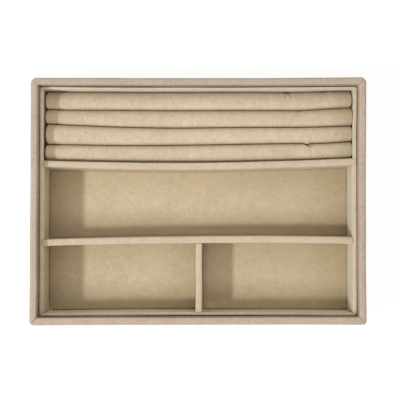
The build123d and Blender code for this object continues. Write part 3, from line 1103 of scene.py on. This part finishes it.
def roll_section(number, x, inset):
    """Walk once round a roll: a soft crown, sides that draw in a little, a flat foot"""
    rear, front = roll_edges(number, x)
    turn = end_turn(x - roll_starts[number], roll_end_depths[0])
    turn += end_turn(roll_stops[number] - x, roll_end_depths[1])
    turn *= (rear - front) / 2
    rear, front = rear - turn, front + turn
    crown = roll_crowns[number] - inset
    half, middle = (rear - front) / 2, (rear + front) / 2
    lean = roll_leans[number]
    rear_shoulder = roll_crowns[number] - half * rear_drops[number]
    front_shoulder = roll_crowns[number] - half * front_drop
    foot, corner = half - roll_foot_inset, roll_foot_corner
    low = roll_bottom + corner

    def side_walk_down(way, shoulder):
        points = []
        for i in range(1, side_steps):
            share = i / side_steps
            out = half - (half - foot) * share**2
            points.append((x, middle + way * out, shoulder + (low - shoulder) * share))
        for out, z in arc((foot - corner, low), corner, 0, -90, foot_steps):
            points.append((x, middle + way * out, z))
        return points

    loop = []
    for i in range(crown_steps + 1):
        across = math.cos(math.pi * i / crown_steps)
        side = (across - lean) / (1 - lean if across > lean else 1 + lean)
        fullness = roll_fullness[number][0 if across > lean else 1]
        up = max(1 - abs(side) ** fullness, 0.0) ** (1 / fullness)
        y = middle + half * across
        shoulder = rear_shoulder if across > lean else front_shoulder
        z = shoulder + (crown - shoulder) * up
        wide = wide_lumps[0] * wave((x, y, 5.0 * number), *wide_lumps[1:])
        small = small_lumps[0] * wave((x, y, z), *small_lumps[1:])
        z += up * (wide + small) + wrinkle_height(number, x, y) * smoothstep(0.0, wrinkle_start, up)
        loop.append((x, y, z))
    return loop + side_walk_down(-1, front_shoulder) + side_walk_down(1, rear_shoulder)[::-1]


def roll_mesh(number):
    """Make one roll's velvet, closed all round"""
    start, end = roll_starts[number], roll_stops[number]
    rows = []
    for x in end_stations(start, end, roll_end_radius, roll_spacing):
        to_end = min(x - start, end - x)
        rows.append(roll_section(number, x, end_inset(to_end, roll_end_radius)))
    name = f"ring_roll_{number + 1}"
    piece = add_mesh(f"{name}_velvet", rows, closed_faces(rows), velvets["rolls"], name)
    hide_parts(f"{name}_cover", f"{name}_foam")


for number in range(len(roll_crowns)):
    roll_mesh(number)


# Plinth: velvet over a board, under the case


plinth_edge_radius = 0.8
plinth_corner_radius = 3.0
plinth_least_corner_radius = 0.3
plinth_top_strip = 0.2
plinth_turn_ins = (2.0, 8.0)


def plinth_skin():
    """Make the velvet tray under the base, from its upper edge down and in underneath"""
    radius = plinth_edge_radius
    length_half = half_length - plinth_inset
    depth_half = half_depth - plinth_inset
    section = [(0.0, plinth_top)] + line((0.0, plinth_top - plinth_top_strip), (0.0, radius), 3)
    section += arc((radius, radius), radius, 180, 270, 5)
    section += [(radius + turn_in, 0.0) for turn_in in plinth_turn_ins]
    rows = []
    for inset, z in section:
        row = []
        turn = max(plinth_corner_radius - inset, plinth_least_corner_radius)
        for cx, cy, start in ((1, 1, 0), (-1, 1, 90), (-1, -1, 180), (1, -1, 270)):
            centre = cx * (length_half - inset - turn), cy * (depth_half - inset - turn)
            for x, y in arc(centre, turn, start, start + 90, edge_steps):
                row.append((x, y, z))
        rows.append(row)
    faces = turned([*sheet_faces(rows, closed=True), ring(rows, len(rows) - 1)])
    piece = add_mesh("plinth_cover", rows, faces, velvets["walls"], "root")
    thicken(piece, velvet_thickness)
    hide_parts("plinth_velvet")


plinth_skin()


# The other boards and cards keep their CAD shapes

for name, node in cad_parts.items():
    material = grey_card if "card" in name else fibre_board
    node.data.materials.clear()
    node.data.materials.append(material)


# Stage, light and camera

table_half = 3000.0
table_drop = 0.2
table_grey = 0.86
table_glow = 1.04
table_glow_share = 0.9
table_mesh = bpy.data.meshes.new("table")
corners = [(-1, -1), (1, -1), (1, 1), (-1, 1)]
places = [Vector((x * table_half, y * table_half, -table_drop)) * MM for x, y in corners]
table_mesh.from_pydata(places, [], [(0, 1, 2, 3)])
table = bpy.data.objects.new("table", table_mesh)
bpy.context.scene.collection.objects.link(table)


def table_material():
    """A white table top: seen by the camera as nearly plain white, with a faint shadow"""
    material = bpy.data.materials.new("table_top")
    material.use_nodes = True
    tree = material.node_tree
    tree.nodes.clear()
    grey = (table_grey, table_grey, table_grey, 1)
    diffuse = add_node(tree, "BsdfDiffuse", {"Color": grey})[0]
    glow = add_node(tree, "Emission", {"Strength": table_glow})[0]
    seen = add_node(tree, "LightPath", {})["Is Camera Ray"]
    share = add_node(tree, "Math", {0: seen, 1: table_glow_share}, operation="MULTIPLY")[0]
    mixed = add_node(tree, "MixShader", {"Fac": share, 1: diffuse, 2: glow})[0]
    add_node(tree, "OutputMaterial", {"Surface": mixed})
    return material


table_mesh.materials.append(table_material())

sky_light = 0.62
sky_colour = (1.03, 0.95, 0.9, 1)
window_light = 3.6
key_light = 1.75
world = bpy.data.worlds.new("studio")
world.use_nodes = True
bpy.context.scene.world = world
sky = world.node_tree
seen = add_node(sky, "LightPath", {})["Is Camera Ray"]
level = add_node(sky, "MapRange", {"To Min": sky_light, "To Max": 1.0, "Value": seen})["Result"]
tints = {"Factor": seen, MIX_FIRST: sky_colour, MIX_SECOND: (1, 1, 1, 1)}
tint = add_node(sky, "Mix", tints, data_type="RGBA")[MIX_RESULT]
feed(sky, sky.nodes["Background"], {"Strength": level, "Color": tint})


def add_lamp(name, lamp, place, target):
    """Put a lamp somewhere, and aim it"""
    thing = bpy.data.objects.new(name, lamp)
    thing.location = place
    thing.rotation_euler = (target - place).to_track_quat("-Z", "Y").to_euler()
    bpy.context.scene.collection.objects.link(thing)


# The key falls from the left and a little from the front. It is a tall soft source, made
# of far lamps whose soft beams are centred on the tray's left, so it fades to the right
key_ways = ((0.82, 0.28, -1.0), (0.82, 0.34, -1.0))
key_distance = 6.0
key_half_angle = 2.5
key_beam = 14
key_colour = (0.97, 1.0, 1.0)
key_aim = Vector((-0.12, 0.0, 0.04))
for number, way in enumerate(key_ways):
    key = bpy.data.lights.new(f"key_{number}", "SPOT")
    key.energy = key_light * 4 * math.pi * key_distance**2 / len(key_ways)
    key.shadow_soft_size = key_distance * math.tan(math.radians(key_half_angle))
    key.spot_size = math.radians(key_beam)
    key.spot_blend = 1.0
    key.color = key_colour
    add_lamp(f"key_{number}", key, key_aim - Vector(way).normalized() * key_distance, key_aim)

# A broad soft light stands in front, a little to the left
window_place = Vector((-0.3, -0.62, 1.2))
window = bpy.data.lights.new("window", "AREA")
window.shape = "RECTANGLE"
window.size, window.size_y = 1.0, 0.5
window.energy = window_light
window.color = sky_colour[:3]
add_lamp("window", window, window_place, Vector((0, 0, 0)))

# The camera fitted to the photo: its place, its turns in degrees, and its lens
camera_place = (0.533, -13.159, 795.0)
camera_turns = (1.0634, -0.0628, 0.0)
camera = bpy.data.cameras.new("camera")
camera.sensor_width = 36.0
camera.lens = 91.395
camera.clip_start = 0.01
camera_object = bpy.data.objects.new("camera", camera)
camera_object.location = [value * MM for value in camera_place]
camera_object.rotation_euler = Euler([math.radians(turn) for turn in camera_turns])
bpy.context.scene.collection.objects.link(camera_object)
bpy.context.scene.camera = camera_object
bpy.context.scene.view_settings.view_transform = "Standard"
